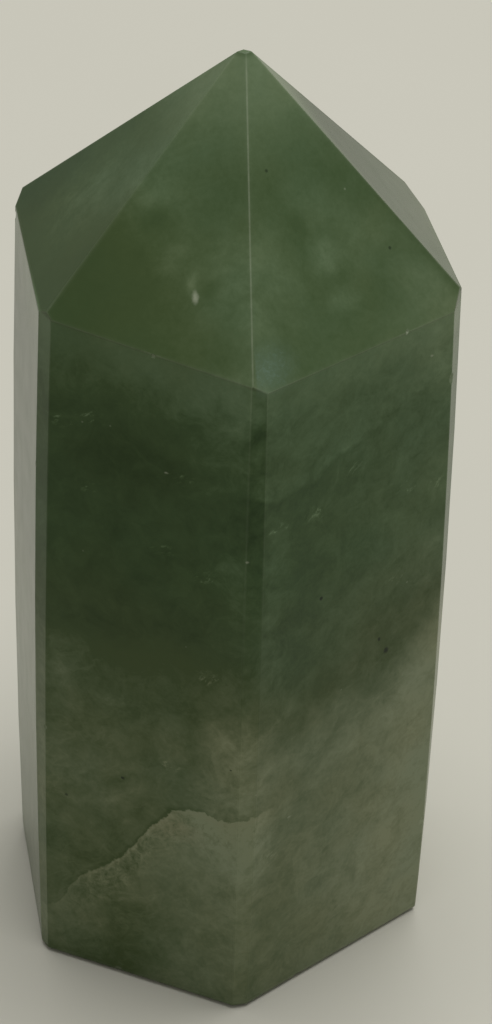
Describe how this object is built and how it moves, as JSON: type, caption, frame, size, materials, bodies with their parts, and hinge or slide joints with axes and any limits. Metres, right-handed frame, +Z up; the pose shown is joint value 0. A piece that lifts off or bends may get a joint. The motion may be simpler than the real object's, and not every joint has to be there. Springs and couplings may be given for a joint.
{
  "type": "aventurine tower",
  "caption": "Polished tower of green aventurine: an upright hexagonal prism with a pyramid crown and a flat base to stand on.",
  "frame": {"origin": "middle of the stone's box on the plane of its flat base", "axes": "+Z up from the base to the tip; +X square to one upright side, to within 2 degrees; -Y towards the upright corner between two sides that faces the viewer"},
  "size_m": [0.0416, 0.0456, 0.0998],
  "materials": {
    "stone": "polished grey-green stone with darker bands, paler clouds and fine specks"
  },
  "bodies": {
    "root": {"stone": "stone"}
  },
  "joints": []
}
